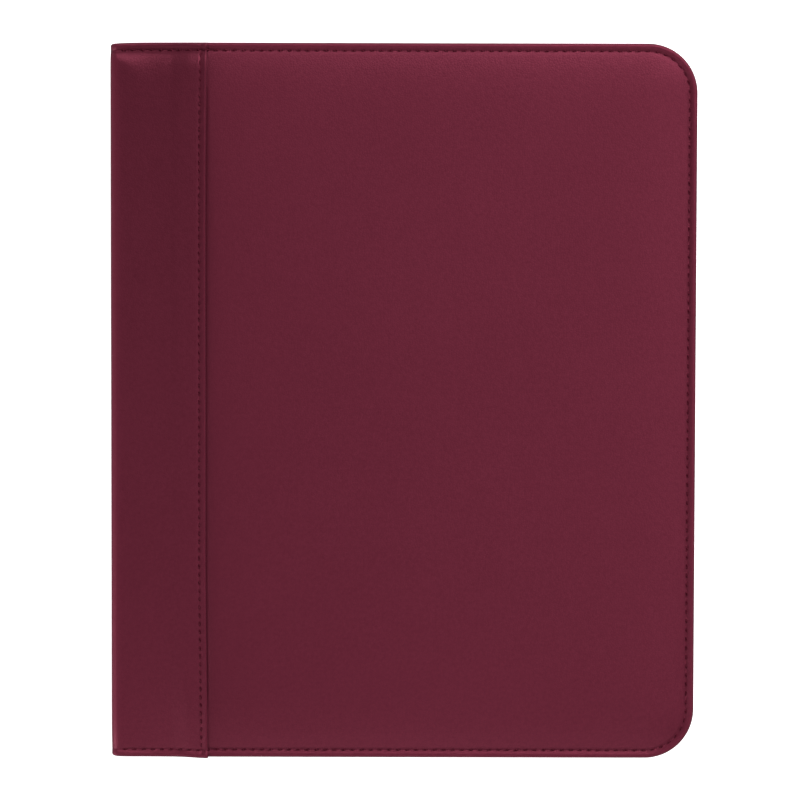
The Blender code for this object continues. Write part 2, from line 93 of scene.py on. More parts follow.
# The looks of the leatherette's edges and padding. Every skin sinks a little under the solids' faces, and no
# turned edge comes nearer to the lining than its foot.
SKIN_SINK = 0.0002
SKIN_PLY = 0.0009
TURNED_FOOT = 0.00005
TURNED_DEPTH = 0.0005
EDGE_THICKNESS = 0.0019
LIP_THICKNESS = 0.0009
CROWN_FOOT = 0.0036
PANEL_CROWN_REACH = 0.0115
STRIP_CROWN_REACH = 0.0050
STRIP_FOOT_REACH = 0.0170
SEAM_CROWN_REACH = 0.0010
SOFT_JOIN = 0.0005
WAVE_HEIGHT = 0.00007
WAVES_FROM_EDGE = 0.02
GROOVE_DEPTH = 0.00030
RIM_HEIGHT = 0.0008
RIM_CROWN = 0.0013
GROOVE_WIDTH = 0.0006
INNER_GROOVE_WIDTH = 0.0008
SEAM_GROOVE_DEPTH = 0.00022
SEAM_GROOVE_WIDTH = 0.0006
SEAM_DIP_START = 0.0008
SEAM_DIP_REACH = 0.0022
LIP_GAP = 0.0003
LIP_BOW = 0.0007
BOW_LOW = 0.065
BOW_LOW_RUN = 0.090
BOW_HIGH = 0.075
BOW_HIGH_RUN = 0.080
LIP_RIDGE = 0.00016
LIP_RIDGE_INSET = 0.0009
LIP_RIDGE_WIDTH = 0.0005
FOLD_RADIUS = 0.0030
FOLD_RELIEF = 0.020
FOLD_DROP = 0.0010
FOLD_RIM_LOSS = 0.6
END_DRAWN = 0.0008
END_PROUD = 0.0005
END_REACH = 0.006
BEND_REACH = 0.0045

# The inside.
LINING_INSET = 0.0016
LINING_PLY = 0.0006
LINING_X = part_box("front_lining")[0].x
SPINE_LINING_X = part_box("spine_lining")[1].x
POCKET_STITCH = 0.0016
MOUTH_STITCH = 0.0030
WINDOW_STITCH = 0.0022
POCKET_PRESS = 0.00030
MOUTH_PRESS = 0.00018
WINDOW_PRESS = 0.00022

# The spacing of the vertices over flat parts, and the widest turns of the leather under a cover's edge.
PANEL_STEP = 0.003
TURNED_UNDER = (0.012, 0.003, 0.0018)

# Sewing.
EDGE_PITCH = 0.0039
SEAM_PITCH = 0.0035
STITCH_LENGTH = 0.0024
STITCH_WIDTH = 0.0009
STITCH_HEIGHT = 0.00050
STITCH_LIFT = 0.35
STITCH_SKEW = math.radians(6)

# The edge stitching's way round a cover: along the bottom, round a corner, up the free side and back.
STITCH_RADIUS = CORNER_RADIUS - STITCH_INSET
STITCH_RUN = CORNER_X - SPINE_X
STITCH_TURN = STITCH_RADIUS * math.pi / 2
STITCH_WAY = 2 * STITCH_RUN + 2 * STITCH_TURN + 2 * CORNER_Y
STITCH_COUNT = round(STITCH_WAY / EDGE_PITCH)

# Tones: the leatherette's deep and light mottling, the strip's share of both, and the painted shade that
# makes the strip's upper end darker than its lower end.
DEEP = (0.103, 0.0140, 0.0280)
LIGHT = (0.128, 0.0186, 0.0363)
STRIP_TONE = 0.92
STRIP_TOP_SHADE = 0.32
RED_SHEEN = (1.0, 0.2, 0.35, 1.0)

# The shade painted as a dark line beside the strip's lip, the fainter shade painted on the panel beyond it as
# shares and their reaches, and the highlight painted on the spine's fold.
PAINTED_LIP_SHADE_WIDTH = 0.0006
PAINTED_SEAM_SHADE = ((0.30, 0.006), (0.25, 0.060))
FOLD_HIGHLIGHT_WIDTH = 0.0024
FOLD_HIGHLIGHT_DEPTH = 0.005

# The grain's cells to a metre, and how far the creases reach into each, as a share of its size.
GRAIN_SCALE = 1000
CREASE_EDGE = 0.14

# The pad's ruling.
RULE_SPACING = 0.0071
PAGE_HEAD = 0.033
MARGIN_RULES = (0.0318, 0.0333)

# The room's light, and its four softboxes: the place, size and power of each.
WALL_LIGHT = 0.77
CEILING_LIGHT = 0.18
FLOOR_GLOW = 0.85
SOFTBOXES = {
    "right softbox": ((0.75, 0.1, 0.95), (0.6, 1.4), 4.2),
    "left softbox": ((-1.1, -0.8, 0.28), (0.5, 1.1), 14.5),
    "upper softbox": ((0.55, 1.25, 0.88), (1.1, 0.4), 26.5),
    "lower softbox": ((0.0, -1.3, 0.9), (1.6, 0.7), 9.0),
}

# The photograph's camera: 800 pixels across, nearly straight above, a little nearer the upper edge.
SENSOR = 36
PHOTO_PIXELS = 800
MM_PER_PIXEL = 0.4258
CAMERA_DISTANCE = 1.5
CAMERA_TILT = math.radians(3.13)
CAMERA_ROLL = math.radians(0.138)
CAMERA_AIM = (-0.0017, 0.0010)


class Signal:
    """A number or colour inside a finish. Arithmetic on it adds Math nodes."""

    def __init__(self, finish, socket):
        self.finish = finish
        self.socket = socket

    def math(self, operation, *others):
        inputs = dict(enumerate((self, *others)))
        return self.finish.add("Math", inputs, operation=operation)

    def flipped(self, operation, other):
        return self.finish.add("Math", {0: other, 1: self}, operation=operation)

    def __add__(self, other):
        return self.math("ADD", other)

    __radd__ = __add__

    def __sub__(self, other):
        return self.math("SUBTRACT", other)

    def __rsub__(self, other):
        return self.flipped("SUBTRACT", other)

    def __mul__(self, other):
        return self.math("MULTIPLY", other)

    __rmul__ = __mul__

    def __truediv__(self, other):
        return self.math("DIVIDE", other)

    def ridge(self, width):
        """1 where the number is zero, falling smoothly to nothing this far from it."""
        return (1 - (self / width).math("ABSOLUTE")).math("MAXIMUM", 0.0).math("SMOOTH_MIN", 1.0, 0.2)

    def above(self, level, softness):
        """0 below a level and 1 above it, with a soft step between."""
        step = {"Value": self, "From Min": level - softness, "From Max": level + softness}
        return self.finish.add("MapRange", step, interpolation_type="SMOOTHSTEP")


class Finish:
    """A material with one Principled shader, built up node by node."""

    def __init__(self, name, **constants):
        self.material = bpy.data.materials.new(name)
        self.material.use_nodes = True
        self.tree = self.material.node_tree
        self.shader = self.tree.nodes["Principled BSDF"]
        for socket, value in constants.items():
            self.shader.inputs[socket.replace("_", " ").title()].default_value = value

    def add(self, kind, inputs=None, output=0, **settings):
        node = self.tree.nodes.new("ShaderNode" + kind)
        for name, value in settings.items():
            setattr(node, name, value)
        for name, value in (inputs or {}).items():
            self.feed(node.inputs[name], value)
        return Signal(self, node.outputs[output])

    def feed(self, socket, value):
        if isinstance(value, Signal):
            self.tree.links.new(value.socket, socket)
        else:
            socket.default_value = value

    def set(self, socket, value):
        self.feed(self.shader.inputs[socket], value)

    def place(self):
        return self.add("TexCoord", output="Object")

    def axes(self):
        where = self.place()
        return [self.add("SeparateXYZ", {0: where}, output=axis) for axis in "XYZ"]

    def attribute(self, name):
        return self.add("Attribute", output="Fac", attribute_name=name)

    def noise(self, scale, detail=2.0, roughness=0.5, where=None):
        inputs = {"Vector": where or self.place(), "Scale": scale, "Detail": detail, "Roughness": roughness}
        return self.add("TexNoise", inputs)

    def cells(self, scale, feature="F1"):
        return self.add("TexVoronoi", {"Vector": self.place(), "Scale": scale}, feature=feature)

    def blend(self, mask, low, high, way="MIX"):
        inputs = {0: mask, 6: low, 7: high}
        return self.add("Mix", inputs, output=2, data_type="RGBA", blend_type=way)

    def mottle(self, mask, low, high):
        """Base colour that goes from one tone to another."""
        self.set("Base Color", self.blend(mask, colour(*low), colour(*high)))

    def relief(self, height, depth):
        """Fine unevenness of this depth."""
        self.set("Normal", self.add("Bump", {"Height": height, "Distance": depth, "Strength": 1.0}))


def colour(red, green, blue):
    return (red, green, blue, 1.0)


def shaded(tone, share):
    """A tone made darker or lighter by a share."""
    return colour(*(share * part for part in tone))


def leatherette(name, deep, light, sewn, top_shade=0.0):
    """Grained burgundy leatherette. A sewn piece carries numbers for its edge, stitches, painted shade and
    painted highlight.
    """
    made = Finish(name, specular_tint=colour(1.0, 0.17, 0.30))
    pebbles = made.cells(GRAIN_SCALE, "SMOOTH_F1")
    creases = made.cells(GRAIN_SCALE, "DISTANCE_TO_EDGE").math("MINIMUM", CREASE_EDGE)
    fine = made.noise(3600, 3.0, 0.6)
    clouds = made.noise(22, 3.0, 0.55)
    speckle = made.noise(620, 3.0, 0.65)
    tone = made.blend((clouds * 0.22 + speckle * 0.78).above(0.5, 0.26), colour(*deep), colour(*light))
    # Painted shade: the strip's tone darkens towards its upper end.
    if top_shade:
        up = made.axes()[1] / (2 * TOP_Y) + 0.5
        top_shade_tint = made.blend(up, colour(1, 1, 1), shaded((1, 1, 1), 1 - top_shade))
        tone = made.blend(1.0, tone, top_shade_tint, "MULTIPLY")
    dark = shaded(deep, 0.62)
    tone = made.blend((CREASE_EDGE - creases) * 1.8, tone, dark)
    relief = pebbles * -0.5 + creases * 3.0 + fine * 0.35
    if sewn:
        inset = made.attribute("inset")
        along = made.attribute("along")
        near = (inset - STITCH_INSET).ridge(0.0010)
        hole = ((along.math("FRACT") - 0.5).math("ABSOLUTE") - 0.40).ridge(0.13)
        relief = relief - near * hole * 1.8 - near * 0.4
        # Painted shade: the stitch groove is painted a little darker.
        tone = made.blend(near * 0.2, tone, dark)
        # Painted shade: a dark line beside the strip's lip.
        tone = made.blend(made.attribute("painted_lip_shade") * 0.5, tone, shaded(deep, 0.4))
        # Painted shade: the panel beside the strip is darker, fading away from the lip.
        tone = made.blend(made.attribute("painted_seam_shade"), tone, dark)
        # Painted highlight: the spine's fold is painted paler.
        tone = made.blend(made.attribute("painted_fold_highlight"), tone, shaded(light, 1.4))
        # Painted highlight: the outer millimetre of the rolled edge is painted paler, where its round catches
        # the light.
        rim = 1 - inset.above(0.0007, 0.0005)
        tone = made.blend(rim * 0.35, tone, shaded(light, 1.35))
    made.set("Base Color", tone)
    made.set("Roughness", 0.42 + fine * 0.14 - creases * 0.5)
    made.relief(relief, 0.00009)
    return made.material


def thread_finish():
    """Twisted polyester thread, a deep maroon."""
    made = Finish("burgundy sewing thread", roughness=0.6, specular_tint=RED_SHEEN)
    x, y, z = made.axes()
    twist = ((x + y + z) * 5200).math("SINE")
    made.mottle(twist * 0.5 + 0.5, (0.026, 0.0008, 0.0035), (0.066, 0.0030, 0.0105))
    made.relief(twist, 0.00006)
    return made.material


def lining_finish():
    """Black twill-woven lining cloth with a faint sheen."""
    made = Finish("black lining cloth", roughness=0.78, sheen_weight=0.15, sheen_roughness=0.4)
    x, y, z = made.axes()
    weave = ((x + z) * 9000).math("SINE") * (y * 9000).math("SINE")
    cloud = made.noise(60, 3.0)
    made.mottle(weave * 0.3 + cloud * 0.7, (0.010, 0.009, 0.010), (0.028, 0.025, 0.027))
    made.relief(weave + made.noise(2600) * 0.6, 0.00005)
    return made.material


def board_finish():
    made = Finish("grey chipboard", roughness=0.9)
    fibres = made.noise(700, 5.0, 0.7)
    flecks = made.cells(420).above(0.55, 0.2)
    made.mottle(fibres * 0.7 + flecks * 0.3, (0.20, 0.18, 0.15), (0.38, 0.35, 0.30))
    made.relief(fibres, 0.00008)
    return made.material


def foam_finish():
    made = Finish("cover foam", roughness=0.95)
    pores = made.cells(1400)
    made.mottle(pores, (0.62, 0.58, 0.50), (0.80, 0.77, 0.69))
    made.relief(pores, 0.0001)
    return made.material


def paper_finish():
    """Ruled writing paper: pale blue lines, a margin rule, and the sheets' edges showing as thin layers."""
    made = Finish("ruled writing paper", roughness=0.72)
    x, y, z = made.axes()
    low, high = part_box("pad_sheets")
    up = made.add("NewGeometry", output="Normal")
    facing = made.add("SeparateXYZ", {0: up}, output="Z").math("ABSOLUTE").above(0.7, 0.1)
    line = 1 - (((y - low.y) / RULE_SPACING).math("FRACT") - 0.5).math("ABSOLUTE").above(0.022, 0.006)
    written = 1 - y.above(high.y - PAGE_HEAD, 0.0001)

    def rule(place):
        return 1 - (x - (low.x + place)).math("ABSOLUTE").above(0.00025, 0.00006)

    margin = rule(MARGIN_RULES[0]).math("MAXIMUM", rule(MARGIN_RULES[1]))
    fibre = made.noise(500, 4.0, 0.6)
    page = made.blend(fibre, colour(0.82, 0.81, 0.77), colour(0.90, 0.89, 0.86))
    page = made.blend(line * written * facing * 0.75, page, colour(0.30, 0.44, 0.66))
    page = made.blend(margin * facing * 0.7, page, colour(0.62, 0.20, 0.22))
    layers = made.noise(1.0, 2.0, 0.6, made.add("CombineXYZ", {0: x * 20, 1: y * 20, 2: z * 9000}))
    page = made.blend((1 - facing) * layers * 0.55, page, colour(0.48, 0.46, 0.42))
    made.set("Base Color", page)
    made.relief(layers * (1 - facing) + fibre * 0.1, 0.00012)
    return made.material


def tape_finish():
    made = Finish("pad binding cloth", roughness=0.62, specular_tint=RED_SHEEN)
    x, y, z = made.axes()
    weave = (x * 6200).math("SINE") * ((y + z) * 6200).math("SINE")
    made.mottle(weave * 0.5 + 0.5, (0.075, 0.010, 0.020), (0.125, 0.020, 0.036))
    made.relief(weave, 0.00008)
    return made.material


def elastic_finish():
    """Ribbed black elastic."""
    made = Finish("black elastic", roughness=0.85, sheen_weight=0.3)
    x, y, z = made.axes()
    ribs = (y * 7000).math("SINE")
    knit = ((x + z) * 3800).math("SINE")
    made.mottle(ribs * knit * 0.5 + 0.5, (0.006, 0.006, 0.006), (0.028, 0.026, 0.026))
    made.relief(ribs + knit * 0.5, 0.00018)
    return made.material


def film_finish():
    made = Finish("clear window film", base_color=colour(0.93, 0.95, 0.96), alpha=0.14)
    ripple = made.noise(35, 2.0)
    made.set("Roughness", 0.06 + ripple * 0.08)
    made.relief(ripple, 0.0006)
    return made.material


SEWN_LEATHER = leatherette("burgundy leatherette, sewn", DEEP, LIGHT, sewn=True)
STRIP_TONES = [shaded(tone, STRIP_TONE)[:3] for tone in (DEEP, LIGHT)]
STRIP_LEATHER = leatherette("burgundy leatherette, spine strip", *STRIP_TONES, sewn=True, top_shade=STRIP_TOP_SHADE)
PLAIN_LEATHER = leatherette("burgundy leatherette", DEEP, LIGHT, sewn=False)
THREAD = thread_finish()
FINISHES = {
    "leatherette": PLAIN_LEATHER,
    "lining": lining_finish(),
    "thread": THREAD,
    "greyboard": board_finish(),
    "foam": foam_finish(),
    "paper": paper_finish(),
    "tape": tape_finish(),
    "elastic": elastic_finish(),
    "film": film_finish(),
}


def dress(piece, finish):
    piece.data.materials.clear()
    piece.data.materials.append(finish)


def deselect():
    bpy.ops.object.select_all(action="DESELECT")


def laid_sheet(name, points, flip=False):
    """A smooth grid whose vertices are laid at points[i, j]. Flip turns its faces over."""
    across, up = points.shape[:2]
    deselect()
    bpy.ops.mesh.primitive_grid_add(x_subdivisions=across - 1, y_subdivisions=up - 1, size=1)
    sheet = bpy.context.object
    sheet.name = name
    sheet.data.name = name
    flat = np.zeros(len(sheet.data.vertices) * 3)
    sheet.data.vertices.foreach_get("co", flat)
    flat = flat.reshape(-1, 3)
    i = np.rint((flat[:, 0] + 0.5) * (across - 1)).astype(int)
    j = np.rint((flat[:, 1] + 0.5) * (up - 1)).astype(int)
    sheet.data.vertices.foreach_set("co", points[i, j].ravel())
    sheet.data.update()
    if flip:
        sheet.data.flip_normals()
    sheet.data.shade_smooth()
    return sheet, i, j


def laid_on(face, x, y, height):
    """Points at a height over one of the four faces."""
    z, out = FACES[face]
    return np.stack(np.broadcast_arrays(x, y, z + out * height), axis=-1)


def mark(piece, name, values):
    """A number on each vertex, for the finish to read."""
    layer = piece.data.attributes.new(name, "FLOAT", "POINT")
    layer.data.foreach_set("value", values.astype(np.float32))


def spread(start, stop, step):
    """Even steps from start to stop, of about this size."""
    return list(np.linspace(start, stop, max(2, round(abs(stop - start) / step) + 1)))


def stepped(*runs):
    """Rows from several runs of (start, stop, step), finest where the surface turns most."""
    return [place for run in runs for place in np.arange(*run)]


def soft_min(first, second):
    """The lesser of two heights, with a rounded join."""
    share = np.clip(0.5 + 0.5 * (second - first) / SOFT_JOIN, 0, 1)
    return second * (1 - share) + first * share - SOFT_JOIN * share * (1 - share)


def eased(share):
    """A share from 0 to 1, with a soft start and end."""
    return share * share * (3 - 2 * share)


def hump(distance, width):
    """1 where the distance is zero, falling smoothly to nothing by about twice the width."""
    return np.exp(-((distance / width) ** 2))


def edge_distance(x, y):
    """Distance in from the top, bottom and free edges of a cover."""
    over_x = x - CORNER_X
    over_y = np.abs(y) - CORNER_Y
    rounded = CORNER_RADIUS - np.hypot(over_x, over_y)
    straight = CORNER_RADIUS - np.maximum(over_x, over_y)
    return np.where((over_x > 0) & (over_y > 0), rounded, straight)


def swell(inset, reach):
    """The rise of the padding in from a sewn edge."""
    return (SKIN_TOP - MARGIN_TOP) * (1 - np.exp(-np.maximum(inset - CROWN_FOOT, 0) / reach))


def waves(x, y):
    """The slight unevenness of padding under a skin."""
    slow = np.sin(x * 41 + y * 17 + 0.6) + np.sin(y * 37 - x * 23 + 2.1) + 0.6 * np.sin(x * 83 + y * 71 + 1.3)
    return WAVE_HEIGHT * slow


def bow(y):
    """How far the strip's lip and seam stand back from their lower end."""
    low = np.clip((-y - BOW_LOW) / BOW_LOW_RUN, 0, 1)
    high = np.clip((y - BOW_HIGH) / BOW_HIGH_RUN, 0, 1)
    return -LIP_BOW * (1 - eased(low)) * (1 - high * high)


def past_lip(x, y):
    """How far to the right of the strip's lip a place on the panel is."""
    return x - LIP_X - bow(y)


def edge_groove(inset):
    """The dip of the edge stitching, wider on its outer side."""
    distance = inset - STITCH_INSET
    width = np.where(distance < 0, GROOVE_WIDTH, INNER_GROOVE_WIDTH)
    return GROOVE_DEPTH * hump(distance, width)


def padded(x, y, inset, margin, crown, reach, rim_height=RIM_HEIGHT):
    """A padded skin: its rolled rim, its stitched groove, and its padding up to a crown."""
    full = soft_min(margin + swell(inset, reach), crown)
    settled = np.clip((inset - CROWN_FOOT) / WAVES_FROM_EDGE, 0, 1)
    rise = np.clip(inset / RIM_CROWN, 0, 1)
    fall = np.clip((inset - RIM_CROWN) / (STITCH_INSET - RIM_CROWN), 0, 1)
    rim = rim_height * (1 - (1 - rise) ** 2 - eased(fall))
    return full - edge_groove(inset) + rim + waves(x, y) * settled - SKIN_SINK


def panel_height(x, y, inset):
    """The skin beside the strip: low under the lip, then padded."""
    past = np.maximum(past_lip(x, y) - LIP_GAP, 0)
    crown = PANEL_LAP_TOP + (SKIN_TOP - PANEL_LAP_TOP) * (1 - np.exp(-past / SEAM_CROWN_REACH))
    return padded(x, y, inset, MARGIN_TOP, crown, PANEL_CROWN_REACH)


def strip_height(x, y, inset):
    """The spine strip: padded beside the fold, dipping to its seam, with a slight ridge along its lip."""
    before = np.maximum(SEAM_X - SEAM_DIP_START - x, 0)
    crown = STRIP_LAP_TOP + (SKIN_TOP - STRIP_LAP_TOP) * (1 - np.exp(-before / SEAM_DIP_REACH))
    lapping = np.clip((x - (LIP_X - LAP_START)) / LAP_RUN, 0, 1)
    climb = np.clip(1 - (x - SPINE_X) / FOLD_RELIEF, 0, 1) ** 2
    margin = MARGIN_TOP + LAP_RISE * lapping + (SKIN_TOP - FOLD_DROP - MARGIN_TOP) * climb
    ridge = LIP_RIDGE * hump(x - LIP_X + LIP_RIDGE_INSET, LIP_RIDGE_WIDTH)
    seam = SEAM_GROOVE_DEPTH * hump(x - SEAM_X, SEAM_GROOVE_WIDTH)
    reach = np.where(y < 0, STRIP_FOOT_REACH, STRIP_CROWN_REACH)
    return padded(x, y, inset, margin, crown, reach, RIM_HEIGHT * (1 - FOLD_RIM_LOSS * climb)) - seam + ridge


def round_rows(radius, start, steps):
    """Rows round an edge of this radius, from a start angle in degrees up to the top."""
    turns = [math.radians(start + (90 - start) * step / steps) for step in range(steps + 1)]
    return [(radius - radius * math.cos(turn), radius - radius * math.sin(turn)) for turn in turns]


def rolled_edge(thickness, under, fine=()):
    """Rows round a turned edge, from its underside to its top: the inset and the depth below the top."""
    rows = [(inset, thickness) for inset in under] + round_rows(thickness / 2, -90, 8)
    return rows + [(inset, 0.0) for inset in fine]


def sewn_edge(height, fine=()):
    """Rows up a sewn edge, from the lining to the top."""
    radius = 0.0004
    rows = [(0.0, height), (0.0, (height + radius) / 2)] + round_rows(radius, 0, 4)
    return rows + [(inset, 0.0) for inset in fine]


def places_across(low, high, low_rows, high_rows, step):
    """Places from one side of a piece to the other, and the depth of each below the top."""
    middle = spread(low + low_rows[-1][0], high - high_rows[-1][0], step)[1:-1]
    places = [low + inset for inset, _ in low_rows] + middle + [high - inset for inset, _ in high_rows[::-1]]
    depths = [depth for _, depth in low_rows] + [0.0] * len(middle) + [depth for _, depth in high_rows[::-1]]
    return np.array(places), np.array(depths)


def square_panel(name, face, x_span, y_span, height, edges, foot=None):
    """A panel with square corners. edges holds the rows of its low x, high x, low y and high y sides."""
    x_rows, x_depth = places_across(*x_span, edges[0], edges[1], PANEL_STEP)
    y_rows, y_depth = places_across(*y_span, edges[2], edges[3], PANEL_STEP)
    x, y = np.meshgrid(x_rows, y_rows, indexing="ij")
    depth = np.maximum(*np.meshgrid(x_depth, y_depth, indexing="ij"))
    inset = np.minimum(np.minimum(x - x_span[0], x_span[1] - x), y - y_span[0])
    heights = height(x, y, inset) - depth
    if foot is not None:
        heights = np.maximum(heights, foot)
    panel, i, j = laid_sheet(name, laid_on(face, x, y, heights), flip=FACES[face][1] < 0)
    mark(panel, "inset", np.where(depth > 0, 0.0, inset)[i, j])
    mark(panel, "along", ((x + y) / EDGE_PITCH)[i, j])
    return panel


def cover_rings(thickness, under, start=0.0):
    """Rows from the underside of a cover's edge up and in to the corner's centre."""
    fine = stepped((0.0013, 0.0060, 0.00034), (0.0064, 0.0120, 0.0007), (0.0130, CORNER_RADIUS, 0.0014))
    rows = [(start + inset, depth) for inset, depth in rolled_edge(thickness, under)]
    rows += [(inset, 0.0) for inset in fine if inset > rows[-1][0] + 0.0002]
    return np.array(rows + [(CORNER_RADIUS, 0.0)])


def cover_panel(name, face, rings, columns, height, foot):
    """A panel over a cover's top, bottom and free edges, with its corners rounded and its edge turned."""
    last = len(rings) - 1
    x_rows = np.concatenate([columns, FREE_X - rings[::-1, 0]])
    ring_x = np.concatenate([np.full(len(columns), last), np.arange(last, -1, -1)])
    y_rows, _, ring_y = up_rows(rings)
    x, y = np.meshgrid(x_rows, y_rows, indexing="ij")
    from_side, from_end = np.meshgrid(last - ring_x, last - ring_y, indexing="ij")
    most = np.maximum(from_side, from_end)
    share = np.minimum(from_side, from_end) / np.maximum(most, 1)
    angle = np.where(from_side >= from_end, math.pi / 4 * share, math.pi / 2 - math.pi / 4 * share)
    reach = CORNER_RADIUS - rings[last - most, 0]
    in_corner = (from_side > 0) & (from_end > 0)
    x = np.where(in_corner, CORNER_X + reach * np.cos(angle), x)
    y = np.where(in_corner, np.sign(y) * (CORNER_Y + reach * np.sin(angle)), y)
    inset = edge_distance(x, y)
    depth = rings[last - most, 1]
    heights = np.maximum(height(x, y, inset) - depth, foot)
    panel, i, j = laid_sheet(name, laid_on(face, x, y, heights), flip=FACES[face][1] < 0)
    mark(panel, "inset", np.where(depth > TURNED_DEPTH, 0.0, inset)[i, j])
    mark(panel, "along", stitch_way(x, y)[i, j])
    past = past_lip(x, y)
    # Painted shade: a dark line beside the strip's lip, and a fainter shade on the panel beyond it.
    mark(panel, "painted_lip_shade", hump(past - LIP_GAP, PAINTED_LIP_SHADE_WIDTH)[i, j])
    shares = [share * np.exp(-np.maximum(past, 0) / reach) for share, reach in PAINTED_SEAM_SHADE]
    mark(panel, "painted_seam_shade", sum(shares)[i, j])
    return panel


def up_rows(rings):
    """The y of each row from the bottom edge to the top, with its depth below the top and its ring."""
    last = len(rings) - 1
    middle = spread(-CORNER_Y, CORNER_Y, 0.0016)[1:-1]
    y = np.concatenate([-TOP_Y + rings[:, 0], middle, TOP_Y - rings[::-1, 0]])
    depth = np.concatenate([rings[:, 1], np.zeros(len(middle)), rings[::-1, 1]])
    ring = np.concatenate([np.arange(last + 1), np.full(len(middle), last), np.arange(last, -1, -1)])
    return y, depth, ring


def drawn_in(x, y):
    """The y of a place on the strip. Its ends draw in beside the fold, and the lower is long at the lip."""
    near_end = np.clip((np.abs(y) - CORNER_Y) / CORNER_RADIUS, 0, 1) ** 2
    drawn = END_DRAWN * np.exp(-(x - SPINE_X) / END_REACH)
    proud = END_PROUD * hump(x - LIP_X + 0.001, END_REACH) * (y < 0)
    return y - np.sign(y) * near_end * (drawn - proud)


def stitch_way(x, y):
    """How far along the edge stitching a place is, in stitches, from the spine's lower end."""
    turned = np.arctan2(np.abs(y) - CORNER_Y, x - CORNER_X) / (math.pi / 2)
    low = np.where(x > CORNER_X, STITCH_RUN + STITCH_TURN * (1 - turned), x - SPINE_X)
    side = STITCH_RUN + STITCH_TURN + (y + CORNER_Y)
    start = STITCH_RUN + STITCH_TURN + 2 * CORNER_Y
    high = np.where(x > CORNER_X, start + STITCH_TURN * turned, start + STITCH_TURN + CORNER_X - x)
    way = np.where(np.abs(y) <= CORNER_Y, np.where(x > CORNER_X, side, 0), np.where(y < 0, low, high))
    return way / STITCH_WAY * STITCH_COUNT


def panel_leather(name, face, body, node):
    """The padded skin of a cover, with its edge turned under all round and its spine side under the strip."""
    columns = [LIP_X - under for under in (0.006, 0.003, 0.001)]
    columns += [LIP_X + past for past in stepped((0, 0.008, 0.0005), (0.008, 0.030, 0.0015))]
    columns += spread(LIP_X + 0.031, CORNER_X, 0.0022)[:-1]
    rings = cover_rings(EDGE_THICKNESS, TURNED_UNDER)
    panel = cover_panel(name, face, rings, columns, panel_height, TURNED_FOOT)
    dress(panel, SEWN_LEATHER)
    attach(panel, body)
    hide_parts(node)


def strip_leather(name, face, nodes):
    """Half of the strip round the spine: its part on one cover, its fold, and half the spine."""
    y_rows, depth_y, _ = up_rows(cover_rings(EDGE_THICKNESS, TURNED_UNDER))
    inset_y = TOP_Y - np.abs(y_rows)
    lip = rolled_edge(LIP_THICKNESS, (0.006, 0.0015))
    top = [LIP_X - inset for inset in stepped((0.0009, 0.0072, 0.00035), (0.0078, 0.016, 0.0009))]
    top += spread(LIP_X - 0.017, SPINE_X + FOLD_RADIUS, 0.0018)
    rows = []
    for x, depth in [(LIP_X - inset, depth) for inset, depth in lip] + [(x, 0.0) for x in top]:
        level = strip_height(x, y_rows, inset_y) - np.maximum(depth, depth_y)
        rows.append((x, np.maximum(level, TURNED_FOOT)))
    fold_x = SPINE_X + FOLD_RADIUS
    fold_top = strip_height(fold_x, y_rows, inset_y) - FOLD_RADIUS
    reach = FOLD_RADIUS - depth_y
    for turn in np.radians(np.linspace(90, 180, 13)[1:]):
        rows.append((fold_x + reach * math.cos(turn), fold_top + reach * math.sin(turn)))
    middle = MIDDLE_Z - LINING_Z
    for fall in np.linspace(0, 1, 7)[1:]:
        rows.append((SPINE_X + depth_y, fold_top * (1 - fall) + middle * fall))
    x = np.array([np.broadcast_to(across, y_rows.shape) for across, _ in rows])
    height = np.array([up for _, up in rows])
    y = np.broadcast_to(y_rows, x.shape)
    along_lip = np.clip((x - SEAM_X + 0.020) / 0.020, 0, 1)
    points = laid_on(face, x + bow(y) * along_lip, drawn_in(x, y), height)
    strip, i, j = laid_sheet(name, points, flip=FACES[face][1] > 0)
    mark(strip, "inset", np.broadcast_to(np.where(depth_y > TURNED_DEPTH, 0.0, inset_y), x.shape)[i, j])
    mark(strip, "along", stitch_way(x, y)[i, j])
    down = np.maximum(SKIN_TOP - height, 0)
    # Painted highlight on the spine's fold.
    mark(strip, "painted_fold_highlight", (hump(x - SPINE_X, FOLD_HIGHLIGHT_WIDTH) * hump(down, FOLD_HIGHLIGHT_DEPTH))[i, j])
    dress(strip, STRIP_LEATHER)
    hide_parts(*nodes)
    ends = [(SPINE_X, 0, TOP_Z - BEND_REACH), (SPINE_X + BEND_REACH, 0, TOP_Z)]
    if face == "back_outside":
        ends = [(px, py, TOP_Z - pz) for px, py, pz in reversed(ends)]
    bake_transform(strip)


def stitch():
    """One stitch: a thread that rises from its hole, lies flat and dives again."""
    deselect()
    bpy.ops.mesh.primitive_uv_sphere_add(segments=6, ring_count=6, radius=0.5)
    made = bpy.context.object
    for vert in made.data.vertices:
        along, across, height = vert.co.z, vert.co.y, vert.co.x
        along = math.copysign(abs(along * 2) ** 0.7 / 2, along)
        dive = STITCH_HEIGHT * 0.9 * (2 * along) ** 4
        vert.co = (along * STITCH_LENGTH, across * STITCH_WIDTH, height * STITCH_HEIGHT - dive)
    made.data.flip_normals()
    made.data.shade_smooth()
    # Blender lists a new sphere's edges and faces in another order each run.
    ordered = bmesh.new()
    ordered.from_mesh(made.data)
    for parts in (ordered.edges, ordered.faces):
        parts.sort(key=lambda part: sum(2 ** vert.index for vert in part.verts))
    ordered.to_mesh(made.data)
    ordered.free()
    return made


